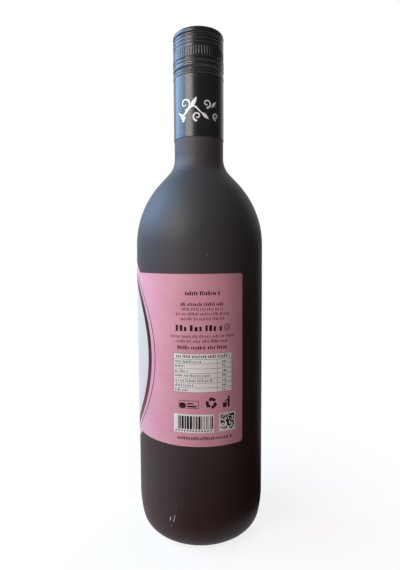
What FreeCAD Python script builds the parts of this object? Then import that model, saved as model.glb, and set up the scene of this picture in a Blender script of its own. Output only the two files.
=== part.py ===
"""A 750 ml satin glass bottle of red grape drink with a long aluminium screw closure.

Four pieces: the glass, the drink in it, the closure and the wrap label.
Millimetres, +Z up, origin at the centre of the base.  The label's printed
back panel faces -Y.  Angles round the bottle are counted from -Y towards +X.
"""
import FreeCAD
import Part
import math
import os

from FreeCAD import Vector

# ---------------------------------------------------------------- driving sizes
# whole bottle
overall_height = 294.5        # base to the top of the closure
body_radius = 38.0            # the straight body
neck_radius = 14.62           # bare neck, and the locking ring under the closure
glass_wall = 3.1              # even wall of body, shoulder and neck
bare_neck = 10.2              # straight neck seen between shoulder and closure

# heel and base
heel_lean = 12.94             # degrees through which the gentle upper arc turns
heel_upper_radius = 62.4      # gentle arc below the straight body
heel_radius = 10.16           # tight arc down to the base
bearing_width = 1.6           # flat ring that the bottle stands on
punt_depth = 9.0              # rise of the domed base
base_thickness = 4.6          # glass under the drink, at the middle of the dome

# shoulder
shoulder_radius = 54.0        # convex arc above the body
shoulder_flat = 7.2           # short cone between the two arcs
neck_fillet = 14.5            # concave arc into the neck

# mouth, hidden by the closure
finish_radius = 13.95         # tube under the rolled thread
mouth_bore = 9.25             # bore radius at the mouth
mouth_depth = 12.0            # straight length of that bore
mouth_round = 1.2             # rounding of the rim's outer edge
ring_slope = 0.6              # height of each slope of the locking ring

# drink
fill_depth = 55.0             # surface of the drink below the top of the closure
drink_clearance = 0.1         # drink to glass

# closure
closure_height = 60.4
closure_wall = 0.22
closure_clearance = 0.06      # closure to neck and locking ring
closure_round = 1.5           # rounding between the top and the side

# ring beads (+) and grooves (-) rolled into the closure, from the top down:
# distance below the top, half width, rise
BEAD_TOP = (2.2, 0.6, 0.12)
GROOVE_TOP = (3.55, 0.75, -0.6)
BEAD_KNURL = (16.0, 0.45, 0.2)
BEAD_RING = (18.1, 0.8, 0.24)
BEAD_MIDDLE = (20.6, 0.85, 0.22)
GROOVE_LOCK = (22.5, 0.95, -0.42)
GROOVE_FINE = (24.05, 0.4, -0.12)
BEAD_LOWER = (25.1, 0.6, 0.2)
ROLLED = (BEAD_TOP, GROOVE_TOP, BEAD_KNURL, BEAD_RING, BEAD_MIDDLE,
          GROOVE_LOCK, GROOVE_FINE, BEAD_LOWER)

# rolled thread in the closure
thread_start = 4.8            # below the top
thread_pitch = 1.95
thread_turns = 2.6
thread_depth = 0.26
thread_roller = 0.75          # radius of the groove's round section
thread_angle = 60.0           # where its upper end lies, degrees from -Y

# knurl and tear line of the closure
knurl_top = 10.7              # below the top
knurl_height = 4.7
knurl_flutes = 60
knurl_depth = 0.2
knurl_cutter = 0.62           # radius of each flute's round section
tear_line = 16.8              # below the top
tear_height = 0.32
tear_bridges = 10
tear_bridge_width = 1.1
tear_bridge_angle = -26.0     # one bridge's place, degrees from -Y

# label: a band round the body with an oval that stands proud of it
label_thickness = 0.12
label_clearance = 0.04        # adhesive between glass and paper
label_above_heel = 40.4       # bare glass between the heel's curve and the band
label_below_shoulder = 15.3   # bare glass between the band and the shoulder
label_gap = 31.6              # bare glass between the band's ends, round the body
label_corner = 1.8
oval_half_width = 56.0        # round the body
oval_rise = 13.85             # how far the oval stands above and below the band
oval_angle = -118.5           # the oval's middle, degrees from -Y

# ---------------------------------------------------------------- worked out
glass_height = overall_height - closure_wall
closure_bottom = overall_height - closure_height
closure_radius = neck_radius + closure_clearance + closure_wall
neck_base = closure_bottom - bare_neck

lean = math.radians(heel_lean)
heel_height = heel_radius + (heel_upper_radius - heel_radius) * math.sin(lean)
contact_radius = body_radius - heel_upper_radius + (heel_upper_radius - heel_radius) * math.cos(lean)

# the shoulder's slope follows from the two radii that its arcs and cone join
arcs = shoulder_radius + neck_fillet
drop = body_radius - neck_radius
slope = math.acos((arcs - drop) / math.hypot(arcs, shoulder_flat)) - math.atan2(shoulder_flat, arcs)
shoulder_base = neck_base - arcs * math.sin(slope) - shoulder_flat * math.cos(slope)

band_bottom = heel_height + label_above_heel
band_top = shoulder_base - label_below_shoulder


# ---------------------------------------------------------------- outline tools
def at(radius, height):
    """A point of an outline in the XZ plane."""
    return Vector(radius, 0.0, height)


def polar(centre, radius, angle):
    """The point of a circle in the XZ plane at an angle from +X, in radians."""
    return centre + Vector(radius * math.cos(angle), 0.0, radius * math.sin(angle))


def line(start, end):
    return Part.LineSegment(start, end).toShape()


def arc(start, middle, end):
    return Part.Arc(start, middle, end).toShape()


def circle_arc(centre, radius, first, last):
    """Arc of a circle in the XZ plane from one angle to another."""
    middle = polar(centre, radius, 0.5 * (first + last))
    return arc(polar(centre, radius, first), middle, polar(centre, radius, last))


def start_of(edges):
    return edges[0].firstVertex().Point


def end_of(edges):
    """Far end of a run of edges, each drawn from its own start."""
    return edges[-1].lastVertex().Point


def join(*runs):
    """Chain runs of edges, with a straight edge wherever two ends don't meet."""
    edges = []
    for run in runs:
        if edges and end_of(edges).distanceToPoint(start_of(run)) > 1e-6:
            edges.append(line(end_of(edges), start_of(run)))
        edges.extend(run)
    return edges


def spin(edges):
    """Run an outline's two ends straight in to the Z axis, and turn it into a solid."""
    first = at(0.0, start_of(edges).z)
    last = at(0.0, end_of(edges).z)
    outline = [line(last, first)]
    if start_of(edges).x > 0:
        outline.append(line(first, start_of(edges)))
    outline = outline + edges
    if end_of(edges).x > 0:
        outline.append(line(end_of(edges), last))
    face = Part.Face(Part.Wire(outline))
    return face.revolve(Vector(0, 0, 0), Vector(0, 0, 1), 360)


def turned(shape, degrees_from_front):
    """Turn a shape made on the +X axis to its place round the bottle."""
    copy = shape.copy()
    copy.rotate(Vector(0, 0, 0), Vector(0, 0, 1), degrees_from_front - 90.0)
    return copy


# ---------------------------------------------------------------- bottle and drink
def side(inset):
    """Heel, body, shoulder and neck from the base up, moved inwards by inset."""
    heel_low = at(contact_radius, heel_radius)
    heel_high = at(body_radius - heel_upper_radius, heel_height)
    convex = at(body_radius - shoulder_radius, shoulder_base)
    concave = at(neck_radius + neck_fillet, neck_base)
    heel = [circle_arc(heel_low, heel_radius - inset, -math.pi / 2, -lean),
            circle_arc(heel_high, heel_upper_radius - inset, -lean, 0.0)]
    shoulder = [circle_arc(convex, shoulder_radius - inset, 0.0, slope)]
    fillet = [circle_arc(concave, neck_fillet + inset, math.pi + slope, math.pi)]
    return join(heel, shoulder, fillet)


def dome(rim_radius, rim_height, rise):
    """Arc from the axis out to a rim, so many millimetres lower than its middle."""
    sphere = (rim_radius ** 2 + rise ** 2) / (2 * rise)
    half = 0.5 * rim_radius
    half_height = rim_height + rise - sphere + math.sqrt(sphere ** 2 - half ** 2)
    return [arc(at(0.0, rim_height + rise), at(half, half_height), at(rim_radius, rim_height))]


def cavity(inset):
    """The room inside the glass up to the mouth, moved inwards by inset beyond the wall."""
    rim = contact_radius - bearing_width
    depth = glass_wall + inset
    floor_rise = punt_depth + base_thickness - glass_wall
    low_bore = at(neck_radius - depth, closure_bottom)
    high_bore = at(mouth_bore - inset, glass_height - mouth_depth)
    bore = [line(low_bore, high_bore), line(high_bore, at(mouth_bore - inset, glass_height))]
    return spin(join(dome(rim, depth, floor_rise), side(depth), bore))


def finish():
    """Outside of the finish: the ring that the closure is locked under, then a plain tube."""
    recess = closure_radius - closure_wall - closure_clearance + GROOVE_LOCK[2]
    recess_low = overall_height - GROOVE_FINE[0] - GROOVE_FINE[1]
    recess_high = overall_height - GROOVE_LOCK[0] + GROOVE_LOCK[1]
    ring_top = overall_height - tear_line
    rim = at(finish_radius - mouth_round, glass_height - mouth_round)
    corners = [at(neck_radius, recess_low - ring_slope), at(recess, recess_low),
               at(recess, recess_high), at(neck_radius, recess_high + ring_slope),
               at(neck_radius, ring_top - ring_slope), at(finish_radius, ring_top)]
    edges = [line(start, end) for start, end in zip(corners, corners[1:])]
    return join(edges, [circle_arc(rim, mouth_round, 0.0, math.pi / 2)])


def glass_bottle():
    """Hollow glass: heel, body, shoulder, neck and finish, open at the mouth."""
    rim = contact_radius - bearing_width
    outside = spin(join(dome(rim, 0.0, punt_depth), side(0.0), finish()))
    return outside.cut(cavity(0.0))


def drink():
    """The drink, up to its level under the closure."""
    level = Part.makeCylinder(body_radius, overall_height - fill_depth)
    return cavity(drink_clearance).common(level)


# ---------------------------------------------------------------- closure
def rolled(mark, inset):
    """One bead or groove of the closure's side, drawn from the top down."""
    below, half, rise = mark
    radius = closure_radius - inset
    height = overall_height - below
    return [arc(at(radius, height + half), at(radius + rise, height), at(radius, height - half))]


def cap_outline(inset):
    """Top rounding and rolled side of the closure, moved inwards by inset."""
    centre = at(closure_radius - closure_round, overall_height - closure_round)
    rounding = [circle_arc(centre, closure_round - inset, math.pi / 2, 0.0)]
    marks = [rolled(mark, inset) for mark in ROLLED]
    foot = at(closure_radius - inset, closure_bottom)
    outline = join(rounding, *marks)
    return outline + [line(end_of(outline), foot)]


def thread_bar(section):
    """A round bar along the thread's helix, centred outside the closure."""
    centre = closure_radius - thread_depth + thread_roller
    length = thread_pitch * thread_turns
    helix = Part.makeHelix(thread_pitch, length, centre)
    ring = Part.Wire(Part.makeCircle(section, Vector(centre, 0, 0), Vector(0, 1, 0)))
    bar = Part.Wire(helix).makePipeShell([ring], True, True)
    bar.translate(Vector(0, 0, overall_height - thread_start - length))
    return turned(bar, thread_angle - 360.0 * thread_turns)


def roll_thread(shell):
    """Press the thread's groove into the shell, with the wall pushed inwards behind it."""
    side_solid = Part.makeCylinder(closure_radius, closure_height, Vector(0, 0, closure_bottom))
    groove = thread_bar(thread_roller)
    backing = thread_bar(thread_roller + closure_wall).common(side_solid).cut(groove)
    return shell.cut(groove).fuse(backing)


def knurl_backing():
    """The side pushed inwards behind the knurl, so that the flutes leave a full wall."""
    bottom = overall_height - knurl_top - knurl_height - closure_wall
    height = knurl_height + 2 * closure_wall
    outer = Part.makeCylinder(closure_radius - 0.5 * closure_wall, height, Vector(0, 0, bottom))
    inner = Part.makeCylinder(closure_radius - closure_wall - knurl_depth, height, Vector(0, 0, bottom))
    return outer.cut(inner)


def flute():
    """One upright flute of the knurl, ready to be cut."""
    centre = closure_radius - knurl_depth + knurl_cutter
    bottom = overall_height - knurl_top - knurl_height
    return Part.makeCylinder(knurl_cutter, knurl_height, Vector(centre, 0, bottom))


def tear_slits():
    """The slots between the bridges of the tear line."""
    step = 360.0 / tear_bridges
    bridge = math.degrees(tear_bridge_width / closure_radius)
    reach = 2.0
    bottom = overall_height - tear_line - 0.5 * tear_height
    slits = []
    for number in range(tear_bridges):
        outer = Part.makeCylinder(closure_radius + reach, tear_height, Vector(0, 0, bottom),
                                  Vector(0, 0, 1), step - bridge)
        core = Part.makeCylinder(closure_radius - reach, tear_height, Vector(0, 0, bottom))
        first = tear_bridge_angle + 0.5 * bridge + number * step
        slits.append(turned(outer.cut(core), first))
    return slits


def closure():
    """Aluminium screw closure with its long skirt, in one piece."""
    shell = spin(cap_outline(0.0)).cut(spin(cap_outline(closure_wall)))
    shell = roll_thread(shell).fuse(knurl_backing())
    flutes = [turned(flute(), number * 360.0 / knurl_flutes) for number in range(knurl_flutes)]
    return shell.cut(flutes).cut(tear_slits())


# ---------------------------------------------------------------- label
def flat_line(start, end):
    """Straight edge of the unrolled label, between two (angle, height) points."""
    return Part.Geom2d.Line2dSegment(flat(start), flat(end))


def flat_arc(centre, across, up, first, last):
    """Arc of an upright ellipse of the unrolled label, between two angles on it."""
    top = flat((centre[0], centre[1] + up))
    left = flat((centre[0] - across, centre[1]))
    ellipse = Part.Geom2d.Ellipse2d(top, left, flat(centre))
    return Part.Geom2d.ArcOfEllipse2d(ellipse, first - math.pi / 2, last - math.pi / 2)


def flat(pair):
    return FreeCAD.Base.Vector2d(*pair)


def label_outline():
    """Die-cut edge of the unrolled label, anticlockwise from the lower right of the oval."""
    middle = (math.pi, 0.5 * (band_bottom + band_top))
    half_band = 0.5 * (band_top - band_bottom)
    half_turn = math.pi - 0.5 * label_gap / body_radius
    across = oval_half_width / body_radius
    up = half_band + oval_rise
    meet = math.asin(half_band / up)
    corner = label_corner / body_radius
    quarter = math.pi / 2
    edges = []
    for side_sign in (1, -1):
        # one end of the band with its two rounded corners, then the oval over or under it
        end = middle[0] + side_sign * half_turn
        root = middle[0] + side_sign * across * math.cos(meet)
        low = middle[1] - side_sign * half_band
        high = middle[1] + side_sign * half_band
        inner = end - side_sign * corner
        turn = quarter * (1 - side_sign)
        low_centre = (inner, low + side_sign * label_corner)
        high_centre = (inner, high - side_sign * label_corner)
        edges.append(flat_line((root, low), (inner, low)))
        edges.append(flat_arc(low_centre, corner, label_corner, turn - quarter, turn))
        edges.append(flat_line((end, low_centre[1]), (end, high_centre[1])))
        edges.append(flat_arc(high_centre, corner, label_corner, turn, turn + quarter))
        edges.append(flat_line((inner, high), (root, high)))
        edges.append(flat_arc(middle, across, up, turn + meet, turn + math.pi - meet))
    return edges


def label():
    """Paper label wrapped on the straight body, in one piece."""
    inner = Part.Cylinder()
    inner.Radius = body_radius + label_clearance
    outer = Part.Cylinder()
    outer.Radius = inner.Radius + label_thickness
    back = [edge.toShape(inner) for edge in label_outline()]
    front = [edge.toShape(outer) for edge in label_outline()]
    rims = [Part.makeRuledSurface(low, high) for low, high in zip(back, front)]
    faces = [Part.Face(inner, Part.Wire(back)), Part.Face(outer, Part.Wire(front))]
    sheet = Part.makeSolid(Part.makeShell(faces + rims))
    # its middle is drawn at half a turn
    return turned(sheet, oval_angle - 180.0)


# ---------------------------------------------------------------- write
def write(name, shape):
    """Save the one solid of a piece under its node's name."""
    shape.Solids[0].exportStep("parts/" + name + ".step")


os.makedirs("parts", exist_ok=True)
write("glass_bottle", glass_bottle())
write("drink", drink())
write("closure", closure())
write("label", label())
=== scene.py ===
import math
import random

import bmesh
import bpy
from mathutils import Matrix, Vector
from mathutils.bvhtree import BVHTree


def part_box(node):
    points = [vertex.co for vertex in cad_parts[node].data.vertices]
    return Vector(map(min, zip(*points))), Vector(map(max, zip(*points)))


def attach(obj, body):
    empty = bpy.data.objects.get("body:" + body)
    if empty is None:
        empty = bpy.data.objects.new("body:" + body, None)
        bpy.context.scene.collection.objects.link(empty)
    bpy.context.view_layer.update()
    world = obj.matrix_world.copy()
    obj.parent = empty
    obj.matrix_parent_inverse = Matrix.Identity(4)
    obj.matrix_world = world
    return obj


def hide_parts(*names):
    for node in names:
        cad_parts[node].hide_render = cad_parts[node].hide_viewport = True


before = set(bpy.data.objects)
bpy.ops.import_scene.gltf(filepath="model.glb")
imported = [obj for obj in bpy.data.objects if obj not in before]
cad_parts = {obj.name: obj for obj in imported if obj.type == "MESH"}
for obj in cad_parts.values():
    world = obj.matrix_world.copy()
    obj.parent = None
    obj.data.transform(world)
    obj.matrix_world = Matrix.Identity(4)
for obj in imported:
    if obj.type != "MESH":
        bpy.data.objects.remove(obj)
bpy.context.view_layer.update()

# A bottle of grape drink in satin black glass, with a rolled-on closure and a wraparound label.
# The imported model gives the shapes. This script gives the finishes, the print and the studio.
# Lengths are millimetres and angles degrees, unless a name says otherwise. An angle round the
# bottle starts at its front, -Y, and grows towards +X, and an arc is measured the same way.
# What is called a turn is an angle in radians.
MM = 0.001

# the label, which is cut in one piece: a band, and an oval that stands out above and below it
BODY_RADIUS = 38.0
LABEL_INNER, LABEL_OUTER = 38.04, 38.11
LABEL_END, LABEL_START = 37.7, 85.3 - 360.0
LABEL_CORNER = 1.8
BAND_BOTTOM, BAND_TOP = 62.26, 156.56
CORNER_STEP, BAND_STEP = 0.2, 0.7  # how wide the sheet's columns are, at its corners and between

# shapes laid on a round surface
STRIP_SHARE = 0.026  # how wide a flat strip may be, as a share of the radius it follows
THINNEST_STROKE = 0.02
SHARP_ANGLE = 35.0  # a piece is smooth across a fold of less than this

# ink lies in layers a step apart, each set a little into what is under it
PRINT_STEP = 0.016
INK_SINK, INK_RISE = 0.004, 0.012

# the ovals of the label's front, one in another: half of each one's width and of its height
OVAL_ANGLE = -118.5
OVAL_MIDDLE = (BAND_BOTTOM + BAND_TOP) / 2
OVAL_EDGE = (56.0, 61.0)
OVAL_LINE = (51.4, 56.9)
OVAL_LINE_WIDTH = 0.5
OVAL_CRESCENT = (48.3, 55.3)
OVAL_FIELD = (45.3, 51.4)
OVAL_CORE = (47.7, 54.6), (46.1, 52.3)  # the outer and the inner edge of the crescent's core
OVAL_STEPS = 160

# the bunch on the oval, measured from the oval's middle. The leaves and the curl at its right
# are mirrored at its left.
BUNCH_ROWS = (5, 6, 5, 4, 3, 2, 1)
BUNCH_TOP = 16.0
BERRY_PITCH, BERRY_ROW_PITCH, BERRY_RADIUS = 8.4, 7.224, 3.95
BERRY_LIGHT = (-1.3, 1.4), (0.95, 0.8)  # its place on the berry and its half sizes
BUNCH_LEAF_ROOT = (1.5, 23.5)
BUNCH_LEAVES = ((24.0, 33.0), 9.0), ((15.0, 22.5), 5.5)  # each one's tip and width
BUNCH_CURL = (13.0, -28.0), 5.0, 1.6  # its middle, its reach and how many times it goes round
BUNCH_STEM = 20.5, 18.0, 3.0, 2.2  # its foot, length and sway, and the turn that the sway takes
BUNCH_UNDERLINES = (15.0, -38.5), (11.0, -41.0)  # half of each one's length, and its height
UNDERLINE_WIDTH = 0.8

# the back panel's print, as arc and height above the base
PANEL_ARC = 1.5
# each row of small print: its width, its height above the base, how tall it is, how bold
TEXT_ROWS = (
    (18.7, 145.2, 2.2, 0.70),
    (23.8, 139.5, 1.9, 0.60),
    (22.8, 137.0, 1.7, 0.36),
    (29.2, 134.4, 1.7, 0.36),
    (23.9, 131.8, 1.7, 0.36),
    (36.2, 122.3, 1.7, 0.36),
    (28.2, 119.7, 1.7, 0.36),
    (27.9, 116.1, 2.1, 0.68),
)
# two longer rows: left and right end, height above the base, how tall, how bold
LARGE_ROW = (-13.3, 12.3, 125.9, 3.3, 1.5)
FOOT_ROW = (-13.0, 18.2, 66.2, 1.8, 0.55)
BAR_HEIGHTS = (0.72, 0.8, 1.0)  # how tall a bar of print may be, as shares of its row
BAR_WIDTHS = (0.8, 1.2)  # how narrow and how wide a bar may be, as shares of how bold the row is
WORD_GAP = 0.35  # the gap between words, as a share of how tall the row is
ROUND_MARK = (15.05, 127.8), 1.75, 0.45  # its middle, radius and line

# boxes on the back panel: left, right, bottom, top
TABLE = (-14.9, 17.86, 92.45, 113.85)
TABLE_LINES = (110.65, 108.2, 105.5, 103.0, 100.25, 97.65, 95.05)
TABLE_ROW_LENGTHS = (15.0, 6.0, 7.2, 19.5, 20.5, 10.5, 7.8)
TABLE_DIVIDER = 9.2
TABLE_LINE_WIDTH = 0.16
BOXED_MARK = (-11.9, -1.0, 83.6, 88.0)
BOXED_MARK_LINE = 0.3
ARROWS_MIDDLE, ARROWS_RADIUS = (5.9, 86.5), 3.1
ARROW_STARTS, ARROW_SWEEP = (30, 150, 270), 68
BIN_CORNER = (12.5, 83.6)
STRIPE_PANEL = (-15.0, 7.3, 70.1, 80.3)
STRIPE_UNIT = 0.42  # every stripe and every gap is one, two or three of these wide
STRIPE_FEET = 13, 1.6, 0.7  # how many marks stand under the stripes, their pitch and width
SCATTER_PANEL = (10.2, 20.0, 70.3, 80.5)
SCATTER_COUNT, SCATTER_MARGIN = 13, 0.75

# the closure and the vine scroll on it, as arc and height above the base
CLOSURE_RADIUS = 14.9
VINE_STEM = (-12.6, 16.2, 248.4, 2.3)  # its left and right end, middle height and sway
VINE_HALF_WAVES, VINE_FIRST_TURN = 4.4, 3.4
VINE_SINK, VINE_RISE = 0.01, 0.02
# each curl: its middle, its reach, and which way it winds
VINE_CURLS = ((-8.2, 252.2, 3.2, 1), (-0.9, 244.9, 2.2, -1), (4.7, 252.0, 2.1, 1), (10.6, 245.4, 1.7, -1))
VINE_CURL_ROUNDS = 1.15
# each leaf: its root, its tip and its width
VINE_LEAVES = (
    ((-4.3, 250.6), (-1.0, 255.6), 2.3),
    ((1.6, 247.0), (6.0, 243.2), 1.9),
    ((7.6, 250.0), (11.0, 254.0), 1.6),
)
VINE_BERRIES = ((-10.9, 246.2), (-9.3, 245.9), (-10.2, 244.6), (-8.6, 244.5), (-9.4, 243.1))
VINE_BERRY_RADIUS = 0.78

# how far the drink's piece reaches into the glass
DRINK_REACH = 0.25

# marks on the glass, each from one angle and height to another, and how wide
RUBS = (
    (-26.4, 20.4, -28.0, 16.9, 0.8),
    (-22.7, 21.8, -23.5, 18.6, 0.55),
    (-23.5, 19.0, -24.3, 17.4, 0.8),
    (-26.6, 14.9, -26.0, 14.2, 0.5),
    (5.8, 166.8, 6.1, 166.3, 0.4),
)
SCRATCHES = (
    (-21.2, 27.6, -21.6, 25.8, 0.5),
    (-49.27, 33.8, -47.84, 31.5, 0.4),
    (-44.52, 29.4, -40.08, 19.2, 0.22),
    (-2.5, 171.0, -2.3, 170.4, 0.35),
)
MARK_STEPS = 10
MARK_BLUNT = 0.06  # how much of a half wave is left off each of a mark's tapered ends
MARK_WIDTHS = (0.6, 1.15)  # how narrow and how wide a step may be, as shares of the mark's width
MARK_SWAY = 0.25  # how far aside a step may lie, as a share of its half width
# a mark's section: each corner's side, in half widths, and how far it stands off the glass
MARK_SECTION = ((-1, -0.01), (0, 0.03), (1, -0.01), (0, -0.05))
HEEL_DOT_ANGLES = (1.7, 5.9, 8.6, 13.4)
HEEL_DOT_HEIGHT = 10.0
DOT_RADIUS, DOT_RISE, DOT_SINK = 0.28, 0.12, 0.02
DOT_RINGS, DOT_SIDES = 3, 10

# the studio
ROOM_LEVEL = 0.11  # how bright the room in front of the bottle is in reflections
BACKDROP_EDGE = (0.35, 0.74)  # the Y of a reflection's direction where white starts, and is full
FILL_COLOUR = (1.0, 0.78, 0.74)  # the world's own light on the bottle
FILL_LEVEL = 0.04
FLOOR_RADIUS_M = 6.0
FLOOR_COLOUR = (0.95, 0.93, 0.90)  # where it is seen
FLOOR_BOUNCE = (0.22, 0.17, 0.165)  # where it lights the bottle from below
FLOOR_FADE_M = (0.04, 0.20)  # how far out it starts to fade to white, and is plain white
FLOOR_FADE_LEAST = 0.82  # how much of it is plain white at its middle
WARM_WHITE = (1.0, 0.93, 0.91)
# each lamp panel: its name and azimuth, then its distance, the height of its middle, its width
# and its height in metres, its colour, its radiance, and whether reflections see it
LAMPS = (
    ("sky_panel", -98, 0.72, 0.74, 0.76, 0.76, (0.37, 0.62, 1.0), 10.0, True),
    ("key_panel", -46, 0.62, 0.56, 0.38, 0.54, (1.0, 0.93, 0.88), 9.0, True),
    ("fill_panel", 18, 0.80, 0.45, 0.60, 0.60, WARM_WHITE, 0.85, False),
    ("back_panel", 148, 0.80, 0.45, 0.60, 0.60, WARM_WHITE, 4.5, False),
)
# each dark card: its name, its colour, the angles it spans, and the two ends of its section, each
# a radius and a height in metres
CARDS = (
    ("side_card", (0.075, 0.048, 0.044), 40, 128, ((0.14, 0.0), (0.14, 0.20))),
    ("floor_card", (0.026, 0.019, 0.017), -32, 128, ((0.045, 0.002), (0.16, 0.002))),
)


# ---------------------------------------------------------------- shapes laid round the bottle


def arc_of(angle, radius=BODY_RADIUS):
    return math.radians(angle) * radius


def box(left, right, bottom, top):
    return [(left, bottom), (right, bottom), (right, top), (left, top)]


def box_edges(left, right, bottom, top, line):
    """A box drawn with lines of one width."""
    uprights = [box(edge, edge + line, bottom, top) for edge in (left, right - line)]
    return uprights + [box(left, right, edge, edge + line) for edge in (bottom, top - line)]


def columns(left, right, low, high, step):
    """What lies between two heights, each a function of the arc, as upright columns."""
    count = max(1, math.ceil((right - left) / step))
    edges = [left + (right - left) * i / count for i in range(count + 1)]
    return [[(a, low(a)), (b, low(b)), (b, high(b)), (a, high(a))] for a, b in zip(edges, edges[1:])]


def on_oval(middle, axes, angle):
    """A point of an oval. The angle grows anticlockwise from the right."""
    turn = math.radians(angle)
    return middle[0] + axes[0] * math.cos(turn), middle[1] + axes[1] * math.sin(turn)


def oval(middle, axes, count):
    return [on_oval(middle, axes, 360 * i / count) for i in range(count)]


def oval_ring(middle, outer, inner, count, start=0.0, end=360.0):
    """The part of an oval ring between two angles, as short pieces."""
    angles = [start + (end - start) * i / count for i in range(count + 1)]
    cells = []
    for a, b in zip(angles, angles[1:]):
        near, far = on_oval(middle, inner, a), on_oval(middle, outer, a)
        cells.append([near, far, on_oval(middle, outer, b), on_oval(middle, inner, b)])
    return cells


def stroke(path, width):
    """A line of changing width along a path. width is a function of the part gone, 0 to 1."""
    sides = []
    last = len(path) - 1
    for i, (x, y) in enumerate(path):
        before, after = path[max(i - 1, 0)], path[min(i + 1, last)]
        along = Vector((after[0] - before[0], after[1] - before[1])).normalized()
        half = max(width(i / last), THINNEST_STROKE) / 2
        aside = (-along.y * half, along.x * half)
        sides.append(((x + aside[0], y + aside[1]), (x - aside[0], y - aside[1])))
    return [[b[0], b[1], a[1], a[0]] for a, b in zip(sides, sides[1:])]


def cut(polygon, edge, side):
    """What is left of a polygon on one side of an upright line."""
    kept = []
    for a, b in zip(polygon, polygon[1:] + polygon[:1]):
        if (a[0] - edge) * side >= 0:
            kept.append(a)
        if (a[0] - edge) * (b[0] - edge) < 0:
            kept.append((edge, a[1] + (b[1] - a[1]) * (edge - a[0]) / (b[0] - a[0])))
    return kept


def strips(polygon, width):
    """A polygon as upright strips, narrow enough to follow the round of the bottle."""
    first = math.floor(min(arc for arc, height in polygon) / width)
    last = math.ceil(max(arc for arc, height in polygon) / width)
    for i in range(first, last):
        strip = cut(cut(polygon, i * width, 1), (i + 1) * width, -1)
        if len(strip) > 2:
            yield strip


def area_of(loop):
    """Twice the area, positive where the corners go round anticlockwise."""
    return sum(a[0] * b[1] - b[0] * a[1] for a, b in zip(loop, loop[1:] + loop[:1]))


def lay(name, polygons, inner, outer, material, radius=BODY_RADIUS):
    """Polygons of (arc, height), laid round the axis as a thin solid between two radii."""
    corners, faces = {}, []
    for polygon in polygons:
        for strip in strips(polygon, radius * STRIP_SHARE):
            turned = strip if area_of(strip) > 0 else strip[::-1]
            loop = []
            for arc, height in turned:
                corner = corners.setdefault((round(arc, 4), round(height, 4)), len(corners))
                if corner not in loop:
                    loop.append(corner)
            if len(loop) > 2:
                faces.append(loop)
    count = len(corners)
    edges = {(a, b) for loop in faces for a, b in zip(loop, loop[1:] + loop[:1])}
    rims = [(b, a, a + count, b + count) for a, b in sorted(edges) if (b, a) not in edges]
    backs = [[corner + count for corner in reversed(loop)] for loop in faces]
    points = []
    for shell in (outer, inner):
        for arc, height in corners:
            turn = arc / radius
            points.append((shell * MM * math.sin(turn), -shell * MM * math.cos(turn), height * MM))
    mesh = bpy.data.meshes.new(name)
    mesh.from_pydata(points, [], faces + backs + rims)
    return piece(name, mesh, material)


def piece(name, mesh, material):
    """A new piece of the object, smooth but for its edges."""
    mesh.polygons.foreach_set("use_smooth", [True] * len(mesh.polygons))
    mesh.set_sharp_from_angle(angle=math.radians(SHARP_ANGLE))
    mesh.materials.append(material)
    made = bpy.data.objects.new(name, mesh)
    bpy.context.scene.collection.objects.link(made)
    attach(made, "root")
    return made


# ---------------------------------------------------------------- finishes


def combine(tree, operation, a, b):
    """What a maths node makes of two sockets."""
    node = tree.nodes.new("ShaderNodeMath")
    node.operation = operation
    tree.links.new(a, node.inputs[0])
    tree.links.new(b, node.inputs[1])
    return node.outputs[0]


def smooth_range(tree, value, low, high, to_low, to_high):
    """A socket's value taken smoothly from one range to another."""
    node = tree.nodes.new("ShaderNodeMapRange")
    node.interpolation_type = "SMOOTHSTEP"
    tree.links.new(value, node.inputs["Value"])
    for socket, given in zip(node.inputs[1:5], (low, high, to_low, to_high)):
        socket.default_value = given
    return node.outputs[0]


def mix_shaders(tree, share, a, b):
    node = tree.nodes.new("ShaderNodeMixShader")
    for source, socket in zip((share, a, b), node.inputs):
        tree.links.new(source, socket)
    return node.outputs[0]


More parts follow.
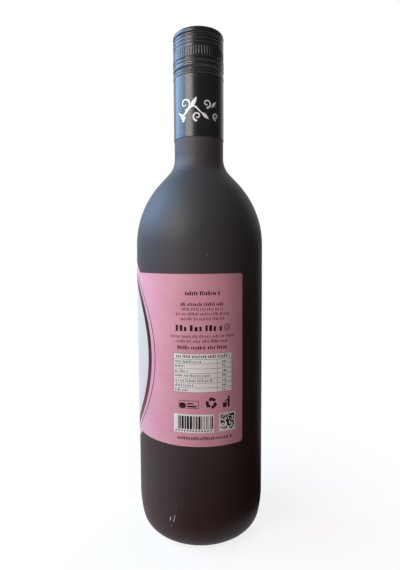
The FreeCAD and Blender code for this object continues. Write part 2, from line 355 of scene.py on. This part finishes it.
class Finish:
    """A material, with short calls for the nodes that the finishes share."""

    def __init__(self, name, **constants):
        self.material = bpy.data.materials.new(name)
        self.material.use_nodes = True
        self.tree = self.material.node_tree
        self.shader = self.tree.nodes["Principled BSDF"]
        for socket, value in constants.items():
            self.shader.inputs[socket.replace("_", " ")].default_value = value
        self.place = self.add("ShaderNodeTexCoord").outputs["Object"]

    def add(self, kind, **settings):
        node = self.tree.nodes.new(kind)
        for name, value in settings.items():
            setattr(node, name, value)
        return node

    def feed(self, socket, value):
        if isinstance(value, bpy.types.NodeSocket):
            self.tree.links.new(value, socket)
        elif isinstance(value, tuple) and len(value) == 3 and socket.type == "RGBA":
            socket.default_value = (*value, 1.0)
        else:
            socket.default_value = value

    def noise(self, size_mm, detail=2.0, stretch=(1.0, 1.0, 1.0), roughness=0.5):
        """Cloudy noise whose blots are about size_mm across, 0 to 1."""
        mapping = self.add("ShaderNodeMapping")
        self.feed(mapping.inputs["Vector"], self.place)
        mapping.inputs["Scale"].default_value = stretch
        node = self.add("ShaderNodeTexNoise")
        self.feed(node.inputs["Vector"], mapping.outputs["Vector"])
        node.inputs["Scale"].default_value = 1.0 / (size_mm * MM)
        node.inputs["Detail"].default_value = detail
        node.inputs["Roughness"].default_value = roughness
        return node.outputs["Fac"]

    def height_above(self, low_mm, high_mm):
        """0 at low_mm above the base and 1 at high_mm, smoothly."""
        split = self.add("ShaderNodeSeparateXYZ")
        self.feed(split.inputs[0], self.place)
        return self.between(split.outputs["Z"], low_mm * MM, high_mm * MM)

    def between(self, value, low, high, to_low=0.0, to_high=1.0):
        return smooth_range(self.tree, value, low, high, to_low, to_high)

    def total(self, a, b):
        return combine(self.tree, "ADD", a, b)

    def mix(self, share, a, b):
        node = self.add("ShaderNodeMix", data_type="RGBA")
        self.feed(node.inputs["Factor"], share)
        self.feed(node.inputs[6], a)
        self.feed(node.inputs[7], b)
        return node.outputs[2]

    def bump(self, height, depth_mm, strength):
        node = self.add("ShaderNodeBump")
        node.inputs["Strength"].default_value = strength
        node.inputs["Distance"].default_value = depth_mm * MM
        self.feed(node.inputs["Height"], height)
        self.feed(self.shader.inputs["Normal"], node.outputs["Normal"])

    def colour(self, value):
        self.feed(self.shader.inputs["Base Color"], value)

    def roughness(self, value):
        self.feed(self.shader.inputs["Roughness"], value)


def satin_glass():
    """Etched near-black glass, painted lighter high up and red brown low down, as painted light."""
    finish = Finish("satin_glass", IOR=1.45, Specular_IOR_Level=0.44)
    cloud = finish.noise(22, detail=3)
    grain = finish.noise(0.35, detail=3)
    # painted light: the upper body is painted lighter than the lower body, a painted light from above
    upper = finish.mix(cloud, (0.033, 0.0325, 0.0325), (0.039, 0.0385, 0.0385))
    # painted light: low down and at the heel, the red brown is a painted glow of light through the drink
    lower = finish.mix(cloud, (0.023, 0.0095, 0.009), (0.027, 0.0115, 0.011))
    heel = finish.mix(cloud, (0.028, 0.0085, 0.008), (0.033, 0.0105, 0.010))
    # painted light: the neck is painted lighter and pinker, for the light that comes through it
    neck_painted_light = finish.mix(cloud, (0.042, 0.034, 0.0355), (0.048, 0.039, 0.041))
    upper = finish.mix(finish.height_above(208, 228), upper, neck_painted_light)
    body = finish.mix(finish.height_above(110, 212), lower, upper)
    finish.colour(finish.mix(finish.height_above(8, 42), heel, body))
    finish.roughness(finish.between(finish.total(cloud, grain), 0.5, 1.5, 0.52, 0.60))
    finish.bump(grain, 0.006, 0.35)
    return finish.material


def drink_body():
    """Dark red drink, almost black in the bottle's depth."""
    finish = Finish("grape_drink", IOR=1.34, Roughness=0.08)
    cloud = finish.noise(30, detail=2)
    finish.colour(finish.mix(cloud, (0.020, 0.0025, 0.004), (0.034, 0.004, 0.006)))
    return finish.material


def closure_lacquer():
    """Black satin lacquer on rolled aluminium, with fine orange peel."""
    finish = Finish("closure_lacquer", IOR=1.48, Specular_IOR_Level=0.5)
    cloud = finish.noise(9, detail=3)
    peel = finish.noise(0.5, detail=2, stretch=(1.0, 1.0, 0.6))
    finish.colour(finish.mix(cloud, (0.009, 0.009, 0.0095), (0.013, 0.013, 0.0135)))
    finish.roughness(finish.between(finish.total(cloud, peel), 0.5, 1.5, 0.25, 0.34))
    finish.bump(peel, 0.004, 0.3)
    return finish.material


def label_paper():
    """Coated paper printed in a soft mottled pink."""
    finish = Finish("label_paper", IOR=1.45, Specular_IOR_Level=0.3)
    wash = finish.noise(17, detail=4, roughness=0.6)
    fleck = finish.noise(1.6, detail=3, roughness=0.7)
    fibre = finish.noise(0.4, detail=2, stretch=(1.0, 1.0, 2.5))
    pink = finish.mix(finish.between(wash, 0.3, 0.7), (0.61, 0.275, 0.33), (0.65, 0.325, 0.375))
    finish.colour(finish.mix(finish.between(fleck, 0.35, 0.75, 0.0, 0.35), pink, (0.575, 0.23, 0.305)))
    finish.roughness(finish.between(fibre, 0.2, 0.8, 0.30, 0.40))
    finish.bump(fibre, 0.01, 0.25)
    return finish.material


def ink(name, light, dark, gloss=0.4):
    """Printed ink that lets a little of the paper's mottling through."""
    finish = Finish(name, IOR=1.45, Specular_IOR_Level=gloss)
    finish.colour(finish.mix(finish.noise(0.9, detail=3), dark, light))
    finish.roughness(finish.between(finish.noise(0.4), 0.2, 0.8, 0.35, 0.45))
    return finish.material


def crescent_ink():
    """The oval's band, nearly black above and crimson below."""
    finish = Finish("crescent_ink", IOR=1.45, Specular_IOR_Level=0.2, Roughness=0.34)
    cloud = finish.noise(2.2, detail=3)
    crimson = finish.mix(cloud, (0.14, 0.004, 0.02), (0.20, 0.008, 0.03))
    black = finish.mix(cloud, (0.008, 0.004, 0.006), (0.016, 0.006, 0.009))
    finish.colour(finish.mix(finish.height_above(88, 122), crimson, black))
    return finish.material


def rubbed(name, dark, light):
    """Rubbed spots, scratches and lint, where the etched glass has turned pale."""
    finish = Finish(name, Roughness=0.8)
    finish.colour(finish.mix(finish.noise(0.3, detail=3), dark, light))
    return finish.material


# ---------------------------------------------------------------- the label


def label_top(arc):
    return outline(arc, 1)


def label_bottom(arc):
    return outline(arc, -1)


def outline(arc, side):
    """The label's upper or lower edge: the band's, or the oval's where that is further out."""
    half_band = (BAND_TOP - BAND_BOTTOM) / 2
    from_end = min(arc_of(LABEL_END) - arc, arc - arc_of(LABEL_START))
    if from_end < LABEL_CORNER:
        past = LABEL_CORNER - from_end
        half_band -= LABEL_CORNER - math.sqrt(max(0.0, LABEL_CORNER**2 - past**2))
    off = (arc - arc_of(OVAL_ANGLE)) / OVAL_EDGE[0]
    half_oval = OVAL_EDGE[1] * math.sqrt(1 - off * off) if abs(off) < 1 else 0.0
    return OVAL_MIDDLE + side * max(half_band, half_oval)


def build_label(paper):
    """The sheet, in narrow columns at its rounded corners and wider ones between."""
    left, right = arc_of(LABEL_START), arc_of(LABEL_END)
    inner_left, inner_right = left + LABEL_CORNER, right - LABEL_CORNER
    cells = columns(inner_right, right, label_bottom, label_top, CORNER_STEP)
    cells += columns(left, inner_left, label_bottom, label_top, CORNER_STEP)
    cells += columns(inner_left, inner_right, label_bottom, label_top, BAND_STEP)
    sheet = lay("label_sheet", cells, LABEL_INNER, LABEL_OUTER, paper)
    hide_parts("label")


def printed(name, polygons, material, layer=1):
    """A layer of ink on the label. A higher layer lies on a lower one."""
    base = LABEL_OUTER + (layer - 1) * PRINT_STEP
    lay(name, polygons, base - INK_SINK, base + INK_RISE, material)


def greeked(left, right, bottom, height, weight, rng, word=(3, 8), gap=(0.35, 0.60)):
    """A row of greeked print: words of upright bars, with no letter among them.

    word says how few and how many bars a word has, and gap how near and how far apart they are.
    """
    bars = []
    at = left
    while at < right - weight:
        for _ in range(rng.randint(*word)):
            width = weight * rng.uniform(*BAR_WIDTHS)
            if at + width > right:
                break
            bars.append(box(at, at + width, bottom, bottom + height * rng.choice(BAR_HEIGHTS)))
            at += width + rng.uniform(*gap)
        at += height * WORD_GAP
    return bars


def build_back_print(dark, pale, grey):
    """Everything printed on the back panel. One stream of random numbers runs through it."""
    rng = random.Random(11)
    text = []
    for width, bottom, height, weight in TEXT_ROWS:
        text += greeked(PANEL_ARC - width / 2, PANEL_ARC + width / 2, bottom, height, weight, rng)
    printed("print_rows", text, dark)
    build_large_row(dark, rng)
    build_table(dark, pale, grey, rng)
    printed("print_icons", boxed_mark() + arrow_ring() + bin_figure(), dark)
    build_stripes(dark, pale, rng)
    build_scatter(dark, pale, rng)
    printed("print_foot_row", greeked(*FOOT_ROW, rng, word=(24, 30)), dark)


def build_large_row(dark, rng):
    """Bold blocks and a round mark, which stand for the row of large print."""
    cells = greeked(*LARGE_ROW, rng, word=(3, 3), gap=(0.7, 1.0))
    middle, radius, line = ROUND_MARK
    cells += oval_ring(middle, (radius, radius), (radius - line, radius - line), 28)
    cells.append(oval(middle, (line, line), 12))
    printed("print_large_row", cells, dark)


def build_table(dark, pale, grey, rng):
    """A pale table of lines and short rows, with a heading."""
    left, right, bottom, top = TABLE
    line = TABLE_LINE_WIDTH
    printed("table_field", [box(left, right, bottom, top)], pale)
    lines = [box(left, right, height - line / 2, height + line / 2) for height in TABLE_LINES]
    lines += box_edges(left, right, bottom, top, line)
    lines.append(box(TABLE_DIVIDER, TABLE_DIVIDER + line, bottom, TABLE_LINES[0]))
    printed("table_lines", lines, grey, layer=2)
    heading_bottom, heading_height, heading_weight = TABLE_LINES[0] + 0.75, 1.7, 0.5
    heading = greeked(left + 1.6, right - 1.4, heading_bottom, heading_height, heading_weight, rng)
    printed("table_heading", heading, dark, layer=2)
    row_left, row_drop, row_height = left + 0.9, 1.95, 1.4
    row_weight, number_weight = 0.36, 0.42
    number_middle = (TABLE_DIVIDER + right) / 2
    rows = []
    for height, length in zip(TABLE_LINES, TABLE_ROW_LENGTHS):
        foot = height - row_drop
        rows += greeked(row_left, row_left + length, foot, row_height, row_weight, rng)
        number_left, number_right = number_middle - 1.4, number_middle + rng.uniform(0.4, 1.8)
        rows += greeked(number_left, number_right, foot, row_height, number_weight, rng)
    printed("table_rows", rows, dark, layer=2)


def boxed_mark():
    """A box with an oval at its left and two short bars beside it."""
    left, right, bottom, top = BOXED_MARK
    cells = box_edges(left, right, bottom, top, BOXED_MARK_LINE)
    cells.append(oval((left + 2.1, bottom + 1.7), (2.0, 1.6), 20))
    bar_left = left + 4.6
    cells.append(box(bar_left, right - 1.2, bottom + 0.7, bottom + 1.6))
    cells.append(box(bar_left, right - 3.0, bottom + 2.3, bottom + 3.1))
    return cells


def arrow_ring():
    """Three curved arrows that follow one another anticlockwise."""
    outer, inner = ARROWS_RADIUS, ARROWS_RADIUS * 0.45
    head_inner, head_outer, head_tip = ARROWS_RADIUS * 0.28, ARROWS_RADIUS * 1.18, ARROWS_RADIUS * 0.74
    head_sweep = 38
    cells = []
    for start in ARROW_STARTS:
        end = start + ARROW_SWEEP
        cells += oval_ring(ARROWS_MIDDLE, (outer, outer), (inner, inner), 10, start, end)
        head = (head_inner, end), (head_outer, end), (head_tip, end + head_sweep)
        cells.append([on_oval(ARROWS_MIDDLE, (reach, reach), angle) for reach, angle in head])
    return cells


def bin_figure():
    """A bin, and a figure beside it that drops something in."""
    x, y = BIN_CORNER
    bin_shape = [(x, y), (x + 2.0, y), (x + 2.3, y + 2.7), (x - 0.3, y + 2.7)]
    head = oval((x + 3.4, y + 5.6), (0.65, 0.65), 12)
    trunk = [(x + 2.7, y), (x + 3.7, y), (x + 4.1, y + 4.7), (x + 2.5, y + 4.7)]
    arm = stroke([(x + 2.7, y + 4.3), (x + 1.7, y + 3.8), (x + 1.0, y + 3.4)], lambda part: 0.6)
    return [bin_shape, head, trunk] + arm


def build_stripes(dark, pale, rng):
    """A pale panel of plain stripes, with a row of small marks under them."""
    left, right, bottom, top = STRIPE_PANEL
    printed("bar_field", [box(left, right, bottom, top)], pale)
    foot, head = bottom + 2.0, top - 0.9
    stripes = []
    at, end = left + 2.4, right - 1.2
    while at < end:
        width = STRIPE_UNIT * rng.choice((1, 1, 2, 3))
        stripes.append(box(at, at + width, foot, head))
        at += width + STRIPE_UNIT * rng.choice((1, 1, 2))
    count, pitch, width = STRIPE_FEET
    for i in range(count):
        at = left + 1.0 + i * pitch
        stripes.append(box(at, at + width, bottom + 0.6, bottom + 1.5))
    printed("bar_lines", stripes, dark, layer=2)


def build_scatter(dark, pale, rng):
    """A pale panel of squares, each filled or not at random, so that it holds no code."""
    left, right, bottom, top = SCATTER_PANEL
    printed("square_field", [box(left, right, bottom, top)], pale)
    across = (right - left - 2 * SCATTER_MARGIN) / SCATTER_COUNT
    up = (top - bottom - 2 * SCATTER_MARGIN) / SCATTER_COUNT
    squares = []
    for column in range(SCATTER_COUNT):
        for row in range(SCATTER_COUNT):
            if rng.random() < 0.5:
                x = left + SCATTER_MARGIN + column * across
                y = bottom + SCATTER_MARGIN + row * up
                squares.append(box(x, x + across, y, y + up))
    printed("square_cells", squares, dark, layer=2)


def build_medallion(dark, white, crescent):
    """The front of the label: a white oval in a crescent, inside a thin line."""
    middle = (arc_of(OVAL_ANGLE), OVAL_MIDDLE)
    inside = (OVAL_LINE[0] - OVAL_LINE_WIDTH, OVAL_LINE[1] - OVAL_LINE_WIDTH)
    printed("oval_line", oval_ring(middle, OVAL_LINE, inside, OVAL_STEPS), dark)
    printed("oval_crescent", oval_ring(middle, OVAL_CRESCENT, OVAL_FIELD, OVAL_STEPS), dark)
    printed("crescent_core", oval_ring(middle, *OVAL_CORE, OVAL_STEPS), crescent, layer=2)
    printed("oval_field", [oval(middle, OVAL_FIELD, OVAL_STEPS)], white)
    return middle


def build_berries(middle, grape, grape_light):
    """Rows of berries that narrow downwards, each with a light on it."""
    berries, lights = [], []
    place, axes = BERRY_LIGHT
    for row, count in enumerate(BUNCH_ROWS):
        for i in range(count):
            x = middle[0] + (i - (count - 1) / 2) * BERRY_PITCH
            y = middle[1] + BUNCH_TOP - row * BERRY_ROW_PITCH
            berries.append(oval((x, y), (BERRY_RADIUS, BERRY_RADIUS), 28))
            lights.append(oval((x + place[0], y + place[1]), axes, 12))
    printed("grape_berries", berries, grape, layer=2)
    printed("grape_lights", lights, grape_light, layer=3)


def build_vine(middle, dark, leaf):
    """The bunch's leaves and stem, a curl at each side and two lines under it."""

    def at(x, y):
        return middle[0] + x, middle[1] + y

    curl_middle, reach, rounds = BUNCH_CURL
    leaves, lines = [], []
    for side in (-1, 1):
        root = at(side * BUNCH_LEAF_ROOT[0], BUNCH_LEAF_ROOT[1])
        for tip, width in BUNCH_LEAVES:
            leaves += leaf_shape(root, at(side * tip[0], tip[1]), width)
        curl = spiral(at(side * curl_middle[0], curl_middle[1]), reach, side, rounds)
        lines += stroke(curl, lambda part: 0.9 - 0.5 * part)
    foot, length, sway, sway_turn = BUNCH_STEM
    steps = 12
    stem = [at(sway * math.sin(i / steps * sway_turn), foot + length * i / steps) for i in range(steps + 1)]
    lines += stroke(stem, lambda part: 1.5 - 0.7 * part)
    for half, height in BUNCH_UNDERLINES:
        left, bottom = at(-half, height)
        lines.append(box(left, left + 2 * half, bottom, bottom + UNDERLINE_WIDTH))
    printed("vine_leaves", leaves, leaf, layer=2)
    printed("vine_lines", lines, dark, layer=2)


def leaf_shape(root, tip, width):
    """A pointed leaf from root to tip, widest nearer its root."""
    steps = 14
    across, up = tip[0] - root[0], tip[1] - root[1]
    path = [(root[0] + across * i / steps, root[1] + up * i / steps) for i in range(steps + 1)]
    return stroke(path, lambda part: width * math.sin(math.pi * part**0.8) + THINNEST_STROKE)


def spiral(middle, reach, side, rounds):
    """A curl that winds into its middle, to the right or to the left."""
    steps, eye = 40, 0.35
    path = []
    for i in range(steps + 1):
        part = i / steps
        size = reach * (1 - part) ** 0.8 + eye
        path.append(on_oval(middle, (size, size), side * part * rounds * 360 - 90))
    return path


# ---------------------------------------------------------------- the closure


def build_closure_print(white):
    """A plain vine scroll in white, round the closure's skirt."""
    left, right, middle, sway = VINE_STEM
    steps = 90
    stem = []
    for i in range(steps + 1):
        part = i / steps
        wave = math.sin(part * VINE_HALF_WAVES * math.pi + VINE_FIRST_TURN)
        stem.append((left + (right - left) * part, middle + sway * wave))
    cells = stroke(stem, stem_width)
    for x, y, reach, side in VINE_CURLS:
        curl = spiral((x, y), reach, side, VINE_CURL_ROUNDS)
        cells += stroke(curl, lambda part: 1.0 - 0.55 * part)
    for root, tip, width in VINE_LEAVES:
        cells += leaf_shape(root, tip, width)
    cells += [oval(berry, (VINE_BERRY_RADIUS, VINE_BERRY_RADIUS), 14) for berry in VINE_BERRIES]
    inner, outer = CLOSURE_RADIUS - VINE_SINK, CLOSURE_RADIUS + VINE_RISE
    lay("closure_vine", cells, inner, outer, white, radius=CLOSURE_RADIUS)


def stem_width(part):
    """The vine's stem is thickest about a quarter along, and thins to a hair past its middle."""
    swell = math.sin(math.pi * min(1, part * 1.6 + 0.1)) ** 0.5
    return 1.25 * swell * (1 - part * 0.55)


# ---------------------------------------------------------------- the glass and what is in it


def build_drink(material):
    """The drink's solid, grown until it reaches just into the glass. Its level stays."""
    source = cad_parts["drink"].data
    level_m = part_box("drink")[1].z
    slack_m = 1e-5
    mesh = source.copy()
    mesh.materials.clear()
    for vertex, old in zip(mesh.vertices, source.vertices):
        at_level = old.co.z > level_m - slack_m
        out = Vector((old.co.x, old.co.y, 0.0)).normalized() if at_level else old.normal
        vertex.co = old.co + out * DRINK_REACH * MM
    made = piece("drink_body", mesh, material)
    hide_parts("drink")


def glass_surface():
    """A call that gives the glass's outer point and normal at an angle and a height."""
    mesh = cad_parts["glass_bottle"].data
    far_out_m = 0.06
    tree = BVHTree.FromPolygons([v.co for v in mesh.vertices], [p.vertices for p in mesh.polygons])

    def at(angle, height):
        out = Vector((math.sin(math.radians(angle)), -math.cos(math.radians(angle)), 0.0))
        start = out * far_out_m + Vector((0.0, 0.0, height * MM))
        place, normal, _, _ = tree.ray_cast(start, -out)
        return place, (normal if normal.dot(out) > 0 else -normal)

    return at


def build_marks(name, marks, material):
    """Rubs, scratches and lint on the glass, as low ridges that are set a little into it."""
    at = glass_surface()
    rng = random.Random(5)
    corners = len(MARK_SECTION)
    points, faces = [], []
    for angle0, height0, angle1, height1, width in marks:
        rings = []
        for i in range(MARK_STEPS + 1):
            part = i / MARK_STEPS
            angle = angle0 + (angle1 - angle0) * part
            height = height0 + (height1 - height0) * part
            taper = math.sin(math.pi * (MARK_BLUNT + (1 - 2 * MARK_BLUNT) * part))
            half = width / 2 * taper * rng.uniform(*MARK_WIDTHS)
            half_angle = math.degrees(half / BODY_RADIUS)
            sway = rng.uniform(-MARK_SWAY, MARK_SWAY) * half_angle
            rings.append([len(points) + corner for corner in range(corners)])
            for side, rise in MARK_SECTION:
                place, normal = at(angle + sway + side * half_angle, height)
                points.append(place + normal * rise * MM)
        for a, b in zip(rings, rings[1:]):
            for k in range(corners):
                after = (k + 1) % corners
                faces.append((a[k], a[after], b[after], b[k]))
        faces += [rings[0][::-1], rings[-1]]
    build_shells(name, points, faces, material)


def build_heel_dots(material):
    """The row of small mould dots low on the heel, each a shallow dome."""
    at = glass_surface()
    points, faces = [], []
    for angle in HEEL_DOT_ANGLES:
        place, normal = at(angle, HEEL_DOT_HEIGHT)
        across = normal.orthogonal().normalized()
        up = normal.cross(across)
        rings = []
        for ring in range(DOT_RINGS):
            lean = math.pi / 2 * ring / DOT_RINGS
            rise = math.sin(lean) * DOT_RISE - DOT_SINK
            rings.append([len(points) + side for side in range(DOT_SIDES)])
            for side in range(DOT_SIDES):
                turn = 2 * math.pi * side / DOT_SIDES
                flat = (across * math.cos(turn) + up * math.sin(turn)) * math.cos(lean) * DOT_RADIUS
                points.append(place + (flat + normal * rise) * MM)
        points.append(place + normal * (DOT_RISE - DOT_SINK) * MM)
        faces.append(rings[0][::-1])
        for side in range(DOT_SIDES):
            after = (side + 1) % DOT_SIDES
            faces += [(a[side], a[after], b[after], b[side]) for a, b in zip(rings, rings[1:])]
            faces.append((rings[-1][side], rings[-1][after], len(points) - 1))
    build_shells("heel_dots", points, faces, material)


def build_shells(name, points, faces, material):
    """A piece of closed shells on the glass, with every face turned outwards."""
    mesh = bpy.data.meshes.new(name)
    mesh.from_pydata(points, [], faces)
    work = bmesh.new()
    work.from_mesh(mesh)
    bmesh.ops.recalc_face_normals(work, faces=work.faces)
    work.to_mesh(mesh)
    work.free()
    piece(name, mesh, material)


# ---------------------------------------------------------------- the studio


def seen_rays(tree):
    """1 for a ray from the camera, or one that a glossy or a clear surface sends on."""
    path = tree.nodes.new("ShaderNodeLightPath").outputs
    total = combine(tree, "MAXIMUM", path["Is Camera Ray"], path["Is Glossy Ray"])
    return combine(tree, "MAXIMUM", total, path["Is Transmission Ray"])


def build_world():
    """A white backdrop all round. Reflections see it behind the bottle, and a darker room in front.

    It lights the bottle only dimly.
    """
    world = bpy.data.worlds.new("studio")
    bpy.context.scene.world = world
    world.use_nodes = True
    tree = world.node_tree
    tree.nodes.clear()
    direction = tree.nodes.new("ShaderNodeTexCoord").outputs["Generated"]
    split = tree.nodes.new("ShaderNodeSeparateXYZ")
    tree.links.new(direction, split.inputs[0])
    back = smooth_range(tree, split.outputs["Y"], *BACKDROP_EDGE, ROOM_LEVEL, 1.0)
    from_camera = tree.nodes.new("ShaderNodeLightPath").outputs["Is Camera Ray"]
    seen = tree.nodes.new("ShaderNodeBackground")
    tree.links.new(combine(tree, "MAXIMUM", back, from_camera), seen.inputs["Color"])
    fill = tree.nodes.new("ShaderNodeBackground")
    fill.inputs["Color"].default_value = (*FILL_COLOUR, 1.0)
    fill.inputs["Strength"].default_value = FILL_LEVEL
    mixed = mix_shaders(tree, seen_rays(tree), fill.outputs[0], seen.outputs[0])
    tree.links.new(mixed, tree.nodes.new("ShaderNodeOutputWorld").inputs["Surface"])


def build_floor():
    """A pale floor that keeps the bottle's shadow and fades to white further out."""
    rim = [(*corner, 0.0) for corner in oval((0.0, 0.0), (FLOOR_RADIUS_M, FLOOR_RADIUS_M), 96)]
    mesh = bpy.data.meshes.new("floor")
    mesh.from_pydata(rim, [], [list(range(len(rim)))])
    mesh.materials.append(floor_finish())
    floor = bpy.data.objects.new("floor", mesh)
    bpy.context.scene.collection.objects.link(floor)


def floor_finish():
    """Mostly plain white where it is seen. The rest of it is lit, and so it can be shaded."""
    material = bpy.data.materials.new("floor")
    material.use_nodes = True
    tree = material.node_tree
    tree.nodes.clear()
    seen = seen_rays(tree)
    colour = tree.nodes.new("ShaderNodeMix")
    colour.data_type = "RGBA"
    colour.inputs[6].default_value = (*FLOOR_BOUNCE, 1.0)
    colour.inputs[7].default_value = (*FLOOR_COLOUR, 1.0)
    tree.links.new(seen, colour.inputs["Factor"])
    lit = tree.nodes.new("ShaderNodeBsdfDiffuse")
    tree.links.new(colour.outputs[2], lit.inputs["Color"])
    place = tree.nodes.new("ShaderNodeTexCoord").outputs["Object"]
    length = tree.nodes.new("ShaderNodeVectorMath")
    length.operation = "LENGTH"
    tree.links.new(place, length.inputs[0])
    far = smooth_range(tree, length.outputs["Value"], *FLOOR_FADE_M, FLOOR_FADE_LEAST, 1.0)
    white = tree.nodes.new("ShaderNodeEmission")
    mixed = mix_shaders(tree, combine(tree, "MULTIPLY", far, seen), lit.outputs[0], white.outputs[0])
    tree.links.new(mixed, tree.nodes.new("ShaderNodeOutputMaterial").inputs["Surface"])
    return material


def softbox(name, azimuth, distance_m, middle_m, width_m, height_m, colour, radiance, glossy):
    """A lamp panel that faces the bottle. It stands at an azimuth, an angle round the bottle."""
    lamp = bpy.data.lights.new(name, "AREA")
    lamp.shape = "RECTANGLE"
    lamp.size, lamp.size_y = width_m, height_m
    lamp.color = colour
    lamp.energy = radiance * math.pi * width_m * height_m
    made = bpy.data.objects.new(name, lamp)
    turn = math.radians(azimuth)
    made.location = (distance_m * math.sin(turn), -distance_m * math.cos(turn), middle_m)
    inward = Vector((-math.sin(turn), math.cos(turn), 0.0))
    made.rotation_mode = "QUATERNION"
    made.rotation_quaternion = inward.to_track_quat("-Z", "Y")
    made.visible_camera = False
    made.visible_glossy = glossy
    bpy.context.scene.collection.objects.link(made)


def build_card(name, colour, start, end, profile):
    """A dark card round part of the bottle, which only reflections see."""
    steps = 20
    points, faces = [], []
    for i in range(steps + 1):
        turn = math.radians(start + (end - start) * i / steps)
        for radius_m, height_m in profile:
            points.append((radius_m * math.sin(turn), -radius_m * math.cos(turn), height_m))
        if i:
            last = 2 * i
            faces.append((last - 2, last, last + 1, last - 1))
    mesh = bpy.data.meshes.new(name)
    mesh.from_pydata(points, [], faces)
    card = bpy.data.objects.new(name, mesh)
    bpy.context.scene.collection.objects.link(card)
    for kind in ("camera", "diffuse", "transmission", "shadow"):
        setattr(card, "visible_" + kind, False)
    finish = Finish(name, Roughness=1.0)
    finish.colour(colour)
    mesh.materials.append(finish.material)


def build_camera():
    """The photograph's view, fitted to the bottle's outline."""
    lens_mm, sensor_mm = 27.15, 36.0
    place_m = Vector((0.0, -0.264698, 0.167859))
    nearest_m, furthest_m = 0.01, 50.0
    pitch, yaw, roll = 0.0755381, 0.000539, -0.006259  # turns, down, to the right and about its axis
    ahead = Vector((math.sin(yaw) * math.cos(pitch), math.cos(yaw) * math.cos(pitch), -math.sin(pitch)))
    level = ahead.cross(Vector((0.0, 0.0, 1.0))).normalized()
    above = level.cross(ahead)
    right = level * math.cos(roll) + above * math.sin(roll)
    up = above * math.cos(roll) - level * math.sin(roll)
    data = bpy.data.cameras.new("camera")
    data.lens, data.sensor_width = lens_mm, sensor_mm
    data.clip_start, data.clip_end = nearest_m, furthest_m
    camera = bpy.data.objects.new("camera", data)
    facing = Matrix((right, up, -ahead)).transposed().to_4x4()
    camera.matrix_world = Matrix.Translation(place_m) @ facing
    bpy.context.scene.collection.objects.link(camera)
    bpy.context.scene.camera = camera


def dress(node, material):
    """Gives a CAD node a better material."""
    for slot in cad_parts[node].material_slots:
        slot.material = material


glass = satin_glass()
dress("glass_bottle", glass)
dress("closure", closure_lacquer())
build_drink(drink_body())

dark_ink = ink("dark_ink", (0.030, 0.006, 0.014), (0.016, 0.004, 0.009), gloss=0.2)
grey_ink = ink("grey_ink", (0.06, 0.045, 0.045), (0.03, 0.022, 0.022), gloss=0.2)
pale_field = ink("pale_field", (0.80, 0.77, 0.73), (0.72, 0.69, 0.65))
white_field = ink("white_field", (0.59, 0.535, 0.49), (0.545, 0.49, 0.445))
grape_ink = ink("grape_ink", (0.13, 0.012, 0.06), (0.075, 0.006, 0.035))
grape_light = ink("grape_light", (0.50, 0.22, 0.36), (0.40, 0.16, 0.28))
leaf_ink = ink("leaf_ink", (0.16, 0.22, 0.09), (0.09, 0.14, 0.05))
closure_white = ink("closure_white", (0.86, 0.86, 0.86), (0.74, 0.74, 0.74))

build_label(label_paper())
build_back_print(dark_ink, pale_field, grey_ink)
front = build_medallion(dark_ink, white_field, crescent_ink())
build_berries(front, grape_ink, grape_light)
build_vine(front, dark_ink, leaf_ink)
build_closure_print(closure_white)
rubbed_glass = rubbed("rubbed_glass", (0.42, 0.39, 0.39), (0.78, 0.74, 0.74))
scratched_glass = rubbed("scratched_glass", (0.09, 0.082, 0.082), (0.16, 0.148, 0.148))
build_marks("glass_rubs", RUBS, rubbed_glass)
build_marks("glass_scratches", SCRATCHES, scratched_glass)
build_heel_dots(glass)

build_world()
build_floor()
for lamp in LAMPS:
    softbox(*lamp)
for card in CARDS:
    build_card(*card)
build_camera()
bpy.context.scene.view_settings.view_transform = "Standard"
